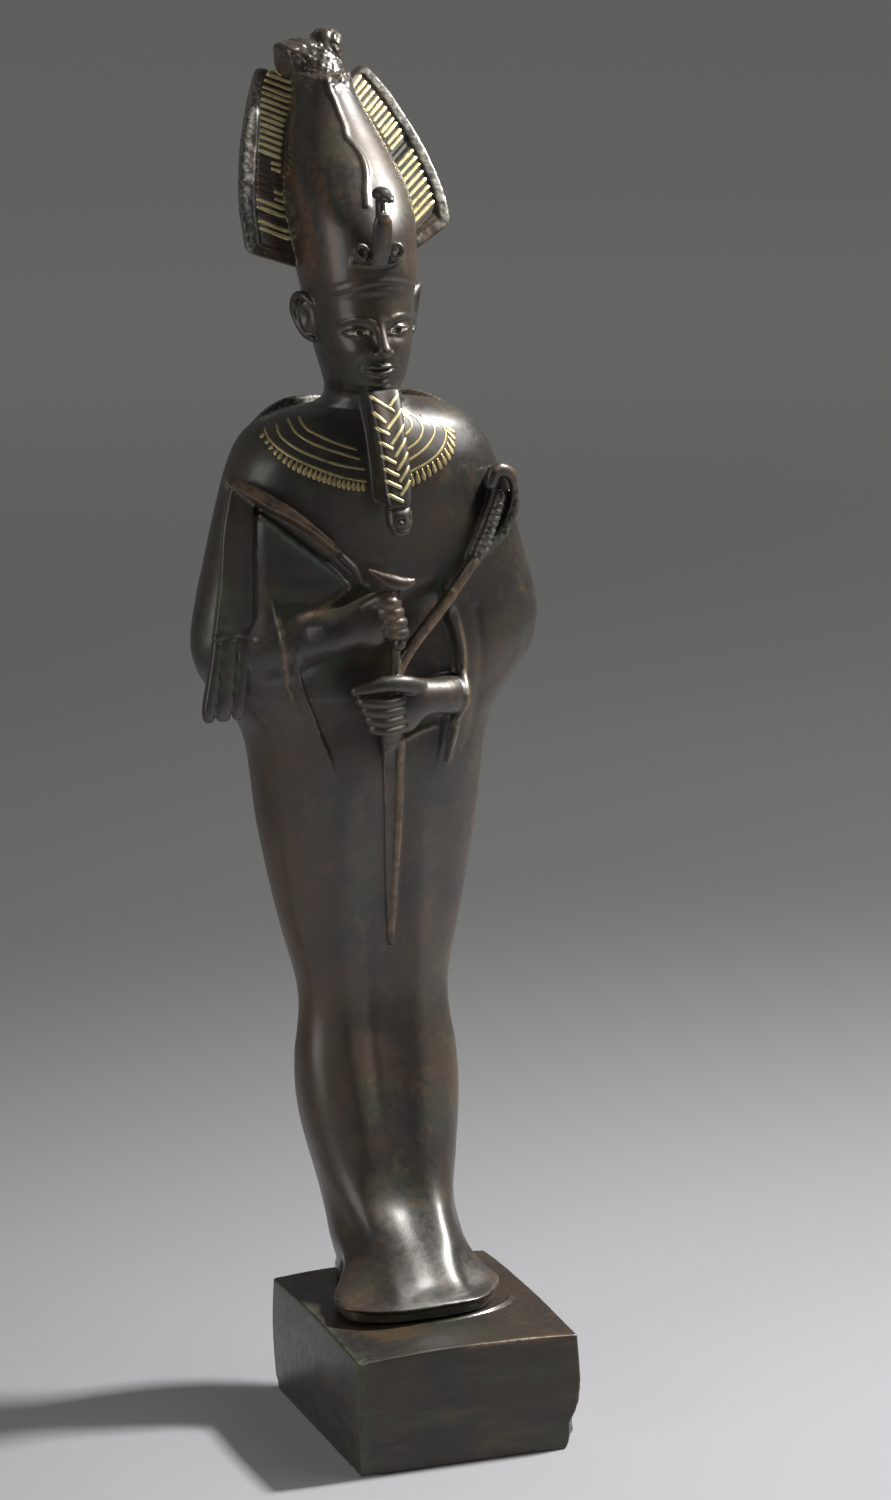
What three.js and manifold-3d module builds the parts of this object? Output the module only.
import * as THREE from 'three';
import { ParametricGeometry } from 'three/addons/geometries/ParametricGeometry.js';
import { mergeVertices } from 'three/addons/utils/BufferGeometryUtils.js';
import Module from 'manifold-3d';

const wasm = await Module();
wasm.setup();

// Block that the statuette stands on, in millimetres.
const plinthWidth = 49.6;
const plinthDepth = 61.7;
const plinthHeight = 26.8;
const plinthBulge = 0.5;
const plinthCornerDrop = 1.0;
const breakWidth = 5.5;
const breakDepth = 9;
const breakHeight = 13;

// Cast figure, from the underside of its foot piece to the broken top of its crown.
const figureHeight = 272.8;
const seatGap = 0.3;
const heelInset = 0.65;
const footSlabThickness = 3.4;
const toeSkew = 0.12;
const featherThickness = 2.8;
const featherRibHeight = 0.35;
const featherRibPitch = 3;
const featherRim = 3;
const leftFeatherRise = 0.36;
const rightFeatherRise = 0.54;
const shaftWidth = 4.2;
const flailBarWidth = 3;
const flailStrapThickness = 3;
const hemWidth = 1.8;
const collarRimWidth = 2;

// The figure is drawn 272.8 mm tall, in millimetres up from its sole, and grows from the drawing.
const grow = figureHeight / 272.8;
const facetsAround = 28;
const finestFacet = 0.03;
const drawnSlab = drawn(footSlabThickness);

// A fixed size, as it is on the drawing.
function drawn(size) {
  return size / grow;
}

// Wrapped legs, hips, cloak and shoulders:
// height, half width, front, middle, back, squareness, splay of the toes.
const bodyStations = [
  [0, 15.4, -14.6, 14, 30.2, 2.7, 0.42],
  [drawnSlab - 0.6, 15.5, -14.6, 14, 30.2, 2.7, 0.42],
  [drawnSlab, 15.2, -13.6, 14, 30.3, 2.7, 0.4],
  [drawnSlab + 1.6, 14.8, -10.8, 15, 30.6, 2.4, 0.26],
  [drawnSlab + 4.1, 14.5, -7, 17, 31.1, 2.2, 0.1],
  [drawnSlab + 7.1, 14.4, -2.4, 19, 32, 2.1, -0.02],
  [14.5, 14.4, 3.8, 21.5, 33.2, 2.2, -0.06],
  [19, 14.7, 9.4, 23.5, 34.6, 2.5, -0.03],
  [24, 15.5, 12.4, 25, 36.2, 2.6, 0],
  [30, 16.7, 14.2, 26.6, 38.2, 2.6, 0],
  [36, 17.7, 15.6, 27.8, 39.7, 2.6, 0],
  [42, 18.2, 16.8, 28.5, 40.4, 2.6, 0],
  [50, 18, 18.4, 29, 39.8, 2.6, 0],
  [56, 17.2, 19.7, 29.2, 38.5, 2.6, 0],
  [62, 16.8, 20.4, 29.4, 38, 2.6, 0],
  [68, 17.4, 20.5, 29.8, 38.8, 2.6, 0],
  [78, 19.8, 20, 30.2, 41, 2.6, 0],
  [90, 22.3, 18.6, 30.5, 43.2, 2.5, 0],
  [103, 24.5, 16.3, 30.6, 45, 2.5, 0],
  [115, 25.9, 14, 30, 45.2, 2.4, 0],
  [121, 26.9, 13, 29.6, 44.6, 2.3, 0],
  [126, 28.9, 12.6, 29.2, 43.8, 2.2, 0],
  [132, 32.8, 12.6, 28.8, 42.8, 2.2, 0],
  [137.5, 36.9, 12.8, 28.2, 41.8, 2.2, 0],
  [142, 38.8, 13, 27.6, 40.8, 2.3, 0],
  [147, 39.2, 13.2, 27, 40, 2.3, 0],
  [152, 38.4, 13.2, 27, 40.2, 2.3, 0],
  [164, 35.4, 12.4, 27.4, 41.2, 2.3, 0],
  [177.5, 31.5, 11.6, 28.2, 41.4, 2.3, 0],
  [184, 29.2, 12, 28.8, 41, 2.3, 0],
  [188.5, 26.8, 13.2, 29.4, 40.4, 2.2, 0],
  [191.5, 23.4, 14.6, 29.6, 39.6, 2.2, 0],
  [194, 18, 16.6, 29, 37.2, 2.1, 0],
  [195.6, 11, 18.6, 27.6, 32.6, 2, 0],
];

// Neck, jaw and skull: height, half width, front, middle, back, squareness.
const headStations = [
  [188, 9.4, 16, 26, 37, 2],
  [193, 8.6, 16.6, 26, 35.4, 2],
  [197.5, 8.2, 16.4, 25, 34, 2],
  [199.6, 8.1, 14.6, 24.5, 34, 2],
  [201, 8.1, 11.8, 24, 34.4, 2],
  [203, 8.6, 10.9, 23.5, 35, 2.1],
  [206, 9.6, 10.4, 23.5, 36, 2.1],
  [210, 10.4, 10, 24, 37.4, 2.1],
  [215, 10.9, 9.9, 24.5, 38.8, 2.1],
  [220, 11.3, 10.2, 25, 39.8, 2.1],
  [225, 11.4, 11, 25.5, 40.2, 2.1],
];

// Tall crown leaning back, sections taken level: height, half width, front, middle, back, squareness.
const crownStations = [
  [218, 11.4, 12.6, 26, 39, 2.1],
  [221, 12, 10.4, 26, 40, 2.1],
  [224, 12.5, 10, 26.2, 40.8, 2.1],
  [229, 12.9, 10.4, 27, 42.6, 2],
  [235, 13.3, 12, 28.8, 45, 2],
  [241, 12.9, 16.4, 32, 47.4, 2],
  [247, 11.2, 22.6, 36.6, 49.8, 2],
  [253, 9.2, 29.6, 41.4, 52, 2],
  [259, 7, 36, 45.2, 53.6, 2],
  [264, 5.9, 40.4, 48, 55, 2],
];

// Outer edge of a feather: height, distance from the middle. Its face leans back with the crown.
const featherEdge = [
  [226, 22.4],
  [228, 23.1],
  [232, 23.2],
  [238, 22.9],
  [244, 21.6],
  [250, 19.7],
  [256, 17],
  [261.4, 14],
  [264.5, 11.8],
];

// A feather's root, beside the crown: distance from the middle, height of its foot.
const featherRoot = [4, 222];

// Heights where the two feathers end beside the crown.
const [leftFeatherTop, rightFeatherTop] = [262.2, 259.8];

// Where the middle of a feather's thickness lies at a height.
function featherY(height) {
  const rise = height - 228.9;
  return 30.2 + 0.469 * rise + 0.0071 * rise * rise;
}

// Smooth curve through the rows of a table, whose first column is the position along it.
function along(table, position) {
  const last = table.length - 1;
  const at = Math.min(Math.max(position, table[0][0]), table[last][0]);
  let i = 0;
  while (i < last - 1 && at > table[i + 1][0]) i += 1;
  const span = table[i + 1][0] - table[i][0];
  const t = (at - table[i][0]) / span;
  const slope = (k, column) => {
    const low = Math.max(k - 1, 0);
    const high = Math.min(k + 1, last);
    return (table[high][column] - table[low][column]) / (table[high][0] - table[low][0]);
  };
  return table[i].slice(1).map((from, index) => {
    const column = index + 1;
    const rise = table[i + 1][column] - from;
    const startBend = span * slope(i, column) - rise;
    const endBend = rise - span * slope(i + 1, column);
    return from + rise * t + t * (1 - t) * ((1 - t) * startBend + t * endBend);
  });
}

function powered(value, squareness) {
  return Math.sign(value) * Math.abs(value) ** (2 / squareness);
}

function smooth(low, high, value) {
  const t = Math.min(Math.max((value - low) / (high - low), 0), 1);
  return t * t * (3 - 2 * t);
}

function hump(distance, width) {
  return Math.exp(-((distance / width) ** 2));
}

// Turns a closed three.js geometry into a solid that can be joined and cut.
function solid(geometry) {
  const bare = geometry.index ? geometry.toNonIndexed() : geometry.clone();
  for (const name of Object.keys(bare.attributes)) {
    if (name !== 'position') bare.deleteAttribute(name);
  }
  const merged = mergeVertices(bare, 1e-4);
  const index = merged.index.array;
  const corners = [];
  for (let i = 0; i < index.length; i += 3) {
    const [a, b, c] = [index[i], index[i + 1], index[i + 2]];
    if (a !== b && b !== c && c !== a) corners.push(a, b, c);
  }
  const mesh = new wasm.Mesh({
    numProp: 3,
    vertProperties: new Float32Array(merged.attributes.position.array),
    triVerts: new Uint32Array(corners),
  });
  return new wasm.Manifold(mesh);
}

// Piece of the figure, brought from the drawing to full size.
function cast(geometry) {
  return solid(geometry.scale(grow, grow, grow));
}

function geometryOf(body) {
  const mesh = body.getMesh();
  const geometry = new THREE.BufferGeometry();
  geometry.setAttribute('position', new THREE.BufferAttribute(new Float32Array(mesh.vertProperties), 3));
  geometry.setIndex(new THREE.BufferAttribute(new Uint32Array(mesh.triVerts), 1));
  geometry.computeVertexNormals();
  return geometry;
}

// Closed skin through rings: the first and last rows shrink to the middle of their ring.
function closedSkin(rings, around, pointOn) {
  const rows = rings + 1;
  const skin = (u, v, target) => {
    const row = Math.round(v * rows);
    const ring = Math.min(Math.max(row - 1, 0), rings - 1);
    const angle = (Math.round(u * around) % around) / around * 2 * Math.PI;
    const middle = row === 0 || row === rows;
    pointOn(ring, angle, target, middle);
  };
  return new ParametricGeometry(skin, around, rows);
}

// Level sections stacked up: section(height) gives half width, front, middle, back and squareness.
// A crowding over 0 draws the facets together at the front.
function stacked(levels, around, section, carve, crowding = 0) {
  return closedSkin(levels.length, around, (ring, turn, target, middle) => {
    const angle = turn - crowding * Math.cos(turn);
    const [halfWidth, front, middleY, back, squareness, splay = 0] = section(levels[ring]);
    const across = middle ? 0 : powered(Math.cos(angle), squareness);
    const deep = middle ? 0 : powered(Math.sin(angle), squareness);
    const forward = Math.max(-deep, 0);
    const reach = deep < 0 ? middleY - front : back - middleY;
    let x = halfWidth * across * (1 + splay * smooth(0.1, 0.5, forward));
    let y = middleY + reach * deep;
    if (!middle && carve) [x, y] = carve(x, y, levels[ring], forward, splay);
    target.set(x, y, levels[ring]);
  });
}

// Tube with a rounded or squared section through points: each stop is [x, y, z, halfWidth, halfHeight].
function swept(stops, facing, around, steps, squareness = 2) {
  const path = new THREE.CatmullRomCurve3(stops.map(([x, y, z]) => new THREE.Vector3(x, y, z)));
  const sizes = stops.map((stop, i) => [i / (stops.length - 1), stop[3], stop[4]]);
  const out = new THREE.Vector3(...facing);
  return closedSkin(steps + 1, around, (ring, angle, target, middle) => {
    const t = ring / steps;
    const ahead = path.getTangent(t);
    const height = out.clone().addScaledVector(ahead, -out.dot(ahead)).normalize();
    const width = new THREE.Vector3().crossVectors(height, ahead);
    const [halfWidth, halfHeight] = along(sizes, t);
    path.getPoint(t, target);
    if (middle) return;
    target.addScaledVector(width, halfWidth * powered(Math.cos(angle), squareness));
    target.addScaledVector(height, halfHeight * powered(Math.sin(angle), squareness));
  });
}

// Front of the wrapped body at a place across and up, so that what lies on it touches it.
function bodyFront(x, height) {
  const [halfWidth, front, middleY, , squareness] = along(bodyStations, height);
  const share = Math.min(Math.abs(x) / halfWidth, 0.999);
  return middleY - (middleY - front) * (1 - share ** squareness) ** (1 / squareness);
}

function levelsOf(stations, extra = []) {
  return [...stations.map(([height]) => height), ...extra].sort((a, b) => a - b);
}

// Soft ridges of shins and feet with a flat band between them.
function legRelief(x, height) {
  const spread = 6.5 + 2 * smooth(24, 60, height);
  const ridge = 0.7 * hump(Math.abs(x) - spread, 2.4) * (1 - smooth(95, 120, height));
  const valley = 0.5 * hump(x, 4) * smooth(20, 40, height) * (1 - smooth(100, 118, height));
  return ridge - valley;
}

function makeBody() {
  const carve = (x, y, height, forward, splay) => {
    const skewed = splay > 0 ? y + toeSkew * x * forward * Math.min(splay * 3, 1) : y;
    return [x, skewed - legRelief(x, height) * smooth(0.4, 0.8, forward)];
  };
  const section = (height) => along(bodyStations, height);
  return cast(stacked(levelsOf(bodyStations), facetsAround, section, carve));
}

// Face on even thirds, looking straight ahead: brow, nose, lips and chin as soft humps and hollows.
function faceRelief(x, height) {
  const [browHeight, noseBase, chinHeight] = [214.6, 207.6, 201.6];
  const away = Math.abs(x);
  const down = (browHeight - height) / (browHeight - noseBase);
  const bridge = (0.8 + 2.4 * Math.max(down, 0)) * smooth(noseBase - 0.7, noseBase + 0.5, height);
  const noseShape = bridge * (1 - smooth(browHeight - 1, browHeight + 1.5, height));
  let out = noseShape * hump(away, 1.1 + 0.9 * Math.max(down, 0));
  out += 1.2 * hump(away - 1.9, 0.8) * hump(height - noseBase - 0.8, 0.9);
  out -= 1.3 * hump(away - 4.2, 2.3) * hump(height - 213, 1.6);
  out += 0.9 * hump(away - 4.2, 1.7) * hump(height - 212.9, 0.9);
  out += 0.6 * hump(away, 2.8) * hump(height - 205.4, 0.7);
  out += 0.7 * hump(away, 2.4) * hump(height - 203.9, 0.6);
  out += 0.9 * hump(away, 2.6) * hump(height - chinHeight, 1.2);
  return out;
}

function makeHead() {
  const carve = (x, y, height, forward) => [x, y - faceRelief(x, height) * smooth(0.3, 0.75, forward)];
  const levels = levelsOf(headStations, [202, 204.6, 207.3, 208.2, 211.5, 213.2]);
  return cast(stacked(levels, 26, (height) => along(headStations, height), carve, 0.6));
}

function makeCrown() {
  const levels = levelsOf(crownStations, [250]);
  return cast(stacked(levels, 20, (height) => along(crownStations, height)));
}

// Broken rough stump of the crown's knob, in two lumps.
function makeKnob() {
  const lump = (x, y, height, halfWidth, halfHeight) => {
    const ball = new THREE.SphereGeometry(1, 9, 6);
    ball.scale(halfWidth, halfWidth * 1.05, halfHeight);
    ball.translate(x, y, height);
    return cast(ball);
  };
  const stump = swept(
    [[0, 48, 261, 5.8, 6], [0, 50.6, 265, 5.6, 5.6], [0, 52, 268, 5.2, 4.6]],
    [0, -1, 0], 10, 3,
  );
  return joined([cast(stump), lump(-3.1, 52.6, 267.4, 3.9, 3.2), lump(3.2, 53, 269, 4, 3.8)]);
}

// Outer end of a line that leaves the crown at a height and rises outwards by a share of its length.
function featherReach(height, rise) {
  const [inner] = featherRoot;
  let outer = 20;
  for (let pass = 0; pass < 6; pass += 1) [outer] = along(featherEdge, height + rise * (outer - inner));
  return outer;
}

function makeFeather(rise, top) {
  const rings = 9;
  const [inner, foot] = featherRoot;
  const thickness = drawn(featherThickness);
  return closedSkin(rings, 8, (ring, angle, target, middle) => {
    const base = foot + (top - foot) * ring / (rings - 1);
    const outer = featherReach(base, rise);
    const across = middle ? 0 : powered(Math.cos(angle), 6);
    const deep = middle ? 0 : powered(Math.sin(angle), 6);
    const x = (inner + outer) / 2 + (outer - inner) / 2 * across;
    const height = base + rise * (x - inner);
    target.set(x, featherY(height) + thickness / 2 * deep, height);
  });
}

// Barbs across the feather's front, within its plain rim, rising away from the crown.
function makeFeatherRibs(rise, top) {
  const ribs = [];
  const [inner, foot] = featherRoot;
  const [pitch, rim] = [drawn(featherRibPitch), drawn(featherRim)];
  const faceDepth = drawn(featherThickness) / 2;
  for (let base = foot + rim; base < top - rim / 2; base += pitch) {
    const outer = featherReach(base, rise) - rim;
    const rib = new THREE.BoxGeometry(outer - inner, drawn(featherRibHeight) * 2, pitch * 0.42);
    const place = rib.attributes.position;
    for (let i = 0; i < place.count; i += 1) {
      const x = place.getX(i) + (inner + outer) / 2;
      const height = base + place.getZ(i) + rise * (x - inner);
      place.setXYZ(i, x, place.getY(i) + featherY(height) - faceDepth, height);
    }
    ribs.push(cast(rib));
  }
  return ribs;
}

function mirrored(body) {
  return body.mirror([1, 0, 0]);
}

function joined(pieces) {
  return pieces.reduce((whole, piece) => whole.add(piece));
}

function makeFeatherPair() {
  const ribbed = (rise, top) => joined([cast(makeFeather(rise, top)), ...makeFeatherRibs(rise, top)]);
  const left = mirrored(ribbed(leftFeatherRise, leftFeatherTop));
  return ribbed(rightFeatherRise, rightFeatherTop).add(left);
}

function makeEars() {
  const shell = new THREE.SphereGeometry(1, 8, 7);
  shell.scale(1.5, 3.3, 5.5);
  shell.rotateX(-0.12);
  shell.rotateZ(-0.5);
  shell.translate(12.1, 25.4, 214.8);
  const hollow = new THREE.SphereGeometry(1, 6, 5);
  hollow.scale(1.1, 1.9, 3.4);
  hollow.rotateX(-0.12);
  hollow.rotateZ(-0.5);
  hollow.translate(13.2, 24.2, 215.4);
  const ear = cast(shell).subtract(cast(hollow));
  return ear.add(mirrored(ear));
}

// Rearing cobra on the brow, with its two side loops and its tail winding up the crown.
function makeCobra() {
  const hood = swept([
    [0.4, 11, 228.6, 1.9, 1.4],
    [0.6, 8.6, 232, 2.2, 1.3],
    [0.7, 7.6, 236, 1.8, 1.3],
    [0.7, 7.8, 243.4, 1.3, 1.5],
  ], [0, -1, 0], 8, 6);
  const head = swept([
    [0.7, 11.4, 243.2, 1.2, 1.2],
    [0.7, 8.2, 243.4, 2, 1.7],
    [0.7, 5, 242.2, 1.1, 0.9],
  ], [0, 0, 1], 8, 4);
  const tailStops = [];
  for (let step = 0; step <= 10; step += 1) {
    const height = 236 + step * 2.7;
    const [, front] = along(crownStations, height);
    const wave = 0.8 * Math.sin(step * 1.35) + 0.6;
    tailStops.push([wave, front + 0.2, height, 1.1 - 0.05 * step, 1.2 - 0.06 * step]);
  }
  const tail = swept(tailStops, [0, -1, 0.4], 5, 16);
  const loops = [-1, 1].map((side) => {
    const ring = new THREE.TorusGeometry(1.5, 0.75, 5, 9);
    ring.rotateX(Math.PI / 2);
    ring.translate(0.3 + side * 3.6, 10.2, 230.2);
    return cast(ring);
  });
  return [cast(hood), cast(head), cast(tail), ...loops];
}

// Plaited false beard, joined to the neck and chest behind it, curling forward at its tip.
function makeBeard() {
  const stations = [
    [170.2, 1.6, 0.6, 2.6, 4.4, 2.4],
    [171.4, 2.4, -0.8, 2.4, 5.6, 2.8],
    [174, 2.7, -0.9, 3, 7, 3.4],
    [176.4, 2.8, 0.4, 5, 13, 4],
    [180, 3.2, 1.2, 7, 15, 4.4],
    [186, 3.4, 2.6, 8, 17, 4.4],
    [192, 3.5, 5, 10, 19, 4.4],
    [197, 3.7, 7.8, 12, 20, 4.4],
    [201, 3.8, 10.4, 14, 20, 4.4],
  ];
  const plait = stacked(levelsOf(stations, [194.6]), 10, (height) => along(stations, height));
  return cast(plait.translate(0.3, 0, 0));
}

// Bare forearm running into a fist; stops go from the sleeve to the knuckles.
function makeArm(stops) {
  return cast(swept(stops, [0, 0, 1], 10, 8, 2.3));
}

// Closed hand round an upright shaft: four fingers as a stack of waves.
function makeFist(x, y, top, bottom, halfWidth, taper) {
  const levels = [];
  const rows = 11;
  for (let row = 0; row < rows; row += 1) levels.push(bottom + (top - bottom) * row / (rows - 1));
  const section = (height) => {
    const share = (height - bottom) / (top - bottom);
    const wave = 0.4 * Math.cos(share * 10 * Math.PI);
    const end = Math.min(share, 1 - share) < 0.02 ? 0.75 : 1;
    const half = (halfWidth * (1 - taper * (1 - share)) - wave * 0.5) * end;
    const front = y - (4.6 - wave) * end;
    return [half, front, y, y + 5, 2.6];
  };
  return cast(stacked(levels, 10, section).translate(x, 0, 0));
}

function makeHands() {
  const rightArm = makeArm([
    [-22, 22, 146.6, 5, 5],
    [-18, 15.4, 147.2, 5.2, 5.4],
    [-13.6, 11, 148.6, 4.8, 5.2],
    [-9.5, 9, 150.2, 4.3, 5],
    [-5, 8.2, 151.2, 4.3, 5.8],
    [-2.4, 8, 151.4, 3.8, 5.6],
  ]);
  const leftArm = makeArm([
    [20, 24, 131.2, 5, 5],
    [16.6, 16, 131.4, 5.2, 4.8],
    [12.3, 11, 132.4, 4.7, 4.4],
    [8, 8.8, 133.2, 4.2, 4.3],
    [3.6, 7.8, 132.6, 4, 5.4],
    [0.6, 7.6, 131.6, 3.4, 5.2],
  ]);
  const rightFist = makeFist(-2, 7.8, 157.6, 143.8, 4.1, 0.05);
  const leftFist = makeFist(-1.9, 7.2, 137.4, 124.6, 4.9, 0.36);
  const rightThumb = swept([
    [-6.4, 6.4, 156.2, 1.5, 1.3],
    [-3.4, 4.6, 157.4, 1.7, 1.4],
    [-0.6, 3.8, 157, 1.3, 1.1],
  ], [0, 0, 1], 6, 4);
  const leftThumb = swept([
    [3.4, 4.6, 137, 1.6, 1.3],
    [-2.4, 3.2, 138.2, 1.9, 1.3],
    [-7, 4.2, 137.6, 1.6, 1.1],
    [-10, 5.6, 137.4, 0.9, 0.8],
  ], [0, 0, 1], 6, 6);
  return [rightArm, leftArm, rightFist, leftFist, cast(rightThumb), cast(leftThumb)];
}

// Upright staff held in both fists, with an animal's head, lying down the front of the thighs.
function makeStaff() {
  const half = drawn(shaftWidth) / 2;
  const held = [[157, 5.6], [148, 6.4], [138, 7.4], [126, 9.4]];
  const resting = [116, 106, 96, 86, 79].map((height) => [height, bodyFront(0, height) - 0.6]);
  const shaft = [...held, ...resting].map(([height, y], i) => {
    const width = half * (1 - 0.13 * Math.max(i - held.length + 1, 0));
    return [-0.6, y, height, width, width * 0.8];
  });
  const head = swept([
    [-5.6, 6, 161.8, 0.6, 0.6],
    [-3, 5, 160.6, 1.6, 1.5],
    [-0.2, 4.4, 160.4, 1.8, 1.7],
    [2, 4.2, 159.2, 1.4, 1.1],
    [3.4, 4.2, 158.8, 0.8, 0.8],
  ], [0, 0, 1], 6, 6);
  const neck = swept([[-1.2, 5.6, 155, 1.9, 1.6], [-1.2, 5, 160, 1.6, 1.4]], [0, -1, 0], 6, 2);
  return [cast(swept(shaft, [0, -1, 0], 8, 14, 2.6)), cast(head), cast(neck)];
}

// Crook: shaft up the chest from the lower fist, bound length with a split, and a hook folded over.
function makeCrook() {
  const shaft = swept([
    [0, 7.4, 138, 1.8, 1.7],
    [3.2, 8.2, 143.2, 1.8, 1.7],
    [11.8, 10.2, 152.6, 1.8, 1.7],
    [20.2, 12, 161.8, 2, 1.8],
  ], [0, -1, 0], 6, 7, 2.6);
  const bound = swept([
    [20, 11.8, 161.4, 2.2, 1.9],
    [23.8, 12.4, 166.6, 3.1, 2],
    [26.8, 12.6, 171.6, 3, 2],
    [29, 12.8, 176, 1.9, 1.8],
  ], [0, -1, 0], 8, 6, 2.6);
  const hook = swept([
    [28.6, 13, 174, 1.7, 1.7],
    [29.8, 12.4, 177.8, 1.8, 1.8],
    [27.8, 11.4, 180.4, 1.9, 1.9],
    [24.6, 10.4, 180.2, 1.8, 1.8],
    [22.2, 10, 177.6, 1.4, 1.4],
  ], [0, -1, 0], 8, 10);
  return [cast(shaft), cast(bound), cast(hook)];
}

// Flail: flat-topped bar from shoulder to fist, and three-lobed pendant falling over the arm.
function makeFlail() {
  const half = drawn(flailBarWidth) / 2;
  const thick = drawn(flailStrapThickness) / 2;
  const bar = swept([
    [-30.6, 17.6, 181, half * 1.2, 1.6],
    [-23, 13.4, 175.6, half, 1.5],
    [-14.6, 10.6, 169, half * 0.95, 1.4],
    [-7, 8.6, 160.6, half * 0.9, 1.4],
    [-4, 8, 156, half * 0.8, 1.4],
  ], [0, -1, 0], 8, 8, 4);
  const strap = swept([
    [-30, 17, 181.6, 3.4, thick],
    [-31.4, 16.4, 170, 3.8, thick],
    [-33.6, 16.2, 158, 4.2, thick],
    [-35, 16.4, 149, 4.5, thick * 0.8],
  ], [0, -1, 0], 8, 6, 4);
  const flutes = [-1, 0, 1].map((place) => cast(swept([
    [-33.8 + place * 2.6, 16, 152.6, 1.4, thick],
    [-35 + place * 2.9, 16.2, 143, 1.6, thick],
    [-36 + place * 3.1, 16.6, 133, 1.7, thick],
    [-36.2 + place * 3.1, 16.8, 130.6, 1.2, thick * 0.6],
  ], [0, -1, 0], 6, 6, 2.4)));
  return [cast(bar), cast(strap), ...flutes];
}

// Edges of the cloak, rolled over as soft ridges that lie on the body.
function makeHems() {
  const ridge = (places, half) => {
    const stops = places.map(([x, height], i) => {
      const end = i === 0 || i === places.length - 1 ? 0.5 : 1;
      return [x, bodyFront(x, height) - 0.5, height, half * end, half * end * 1.2];
    });
    return cast(swept(stops, [0, -1, 0], 5, places.length * 2));
  };
  const half = drawn(hemWidth) / 2;
  return [
    ridge([[-22.6, 150], [-21, 142], [-17.6, 132], [-14, 123], [-11, 116]], half),
    ridge([[15.8, 158], [16.8, 148], [18.2, 136], [17.4, 126], [14, 117]], half * 1.2),
    ridge([[19.6, 152], [21, 142], [21.6, 132], [19.6, 122]], half * 0.9),
    ridge([
      [-19, 171.6], [-13.5, 165.6], [-9.4, 160.6], [-7.4, 157.8],
      [-10.4, 156], [-16, 153.4], [-22.6, 149.6],
    ], half),
  ];
}

// Stiff edge of the cloak standing up behind the neck and over both shoulders.
function makeCollarRim() {
  const half = drawn(collarRimWidth) / 2;
  const side = [
    [7, 37.4, 193.2, half, 2.2],
    [14, 36, 192.6, half, 2.6],
    [20.6, 32.8, 189.8, half, 2.6],
    [25.8, 28.6, 184.8, half, 2.2],
    [28.6, 23.4, 179, half, 1.8],
    [29.4, 19.6, 173.6, half, 1.2],
  ];
  const left = side.map(([x, ...rest]) => [-x, ...rest]).reverse();
  return cast(swept([...left, [0, 38, 192.8, half, 2], ...side], [0, 0.15, 1], 6, 18, 3));
}

function makeFigure() {
  const whole = joined([
    makeBody(), makeHead(), makeCrown(), makeKnob(), makeFeatherPair(), makeEars(), ...makeCobra(),
    makeBeard(), ...makeHands(), ...makeStaff(), ...makeCrook(), ...makeFlail(), ...makeHems(),
    makeCollarRim(),
  ]);
  return geometryOf(whole.simplify(finestFacet));
}

// Low block with swelling sides, dropped top corners and a broken lower corner.
function makePlinth() {
  const box = new THREE.BoxGeometry(plinthWidth, plinthDepth, plinthHeight, 4, 5, 4);
  box.translate(0, 0, plinthHeight / 2);
  const place = box.attributes.position;
  for (let i = 0; i < place.count; i += 1) {
    const across = place.getX(i) / (plinthWidth / 2);
    const deep = place.getY(i) / (plinthDepth / 2);
    const up = place.getZ(i) / plinthHeight;
    const swell = plinthBulge * (1 - (2 * up - 1) ** 2);
    place.setX(i, place.getX(i) + across ** 3 * swell);
    place.setY(i, place.getY(i) + deep ** 3 * swell);
    place.setZ(i, place.getZ(i) - plinthCornerDrop * up * across ** 2 * deep ** 2);
  }
  const lump = new THREE.OctahedronGeometry(1, 1);
  lump.scale(breakWidth, breakDepth, breakHeight);
  lump.rotateZ(0.2);
  const [breakX, breakY] = [plinthWidth / 2 + breakWidth / 4, plinthDepth / 2 + breakDepth / 16];
  lump.translate(breakX, -breakY, -breakHeight / 16);
  return geometryOf(solid(box).subtract(solid(lump)).simplify(finestFacet));
}

const bronze = new THREE.MeshStandardMaterial({ color: 0x2c2622, roughness: 0.38, metalness: 0.9 });
const blockBronze = new THREE.MeshStandardMaterial({ color: 0x33302a, roughness: 0.5, metalness: 0.85 });

const figure = new THREE.Mesh(makeFigure(), bronze);
figure.name = 'figure';
const [, , , , heelBack] = bodyStations[0];
figure.position.set(0, plinthDepth / 2 - heelInset - heelBack * grow, plinthHeight + seatGap);

const plinth = new THREE.Mesh(makePlinth(), blockBronze);
plinth.name = 'plinth';

const statuette = new THREE.Group();
statuette.add(plinth, figure);

export default statuette;
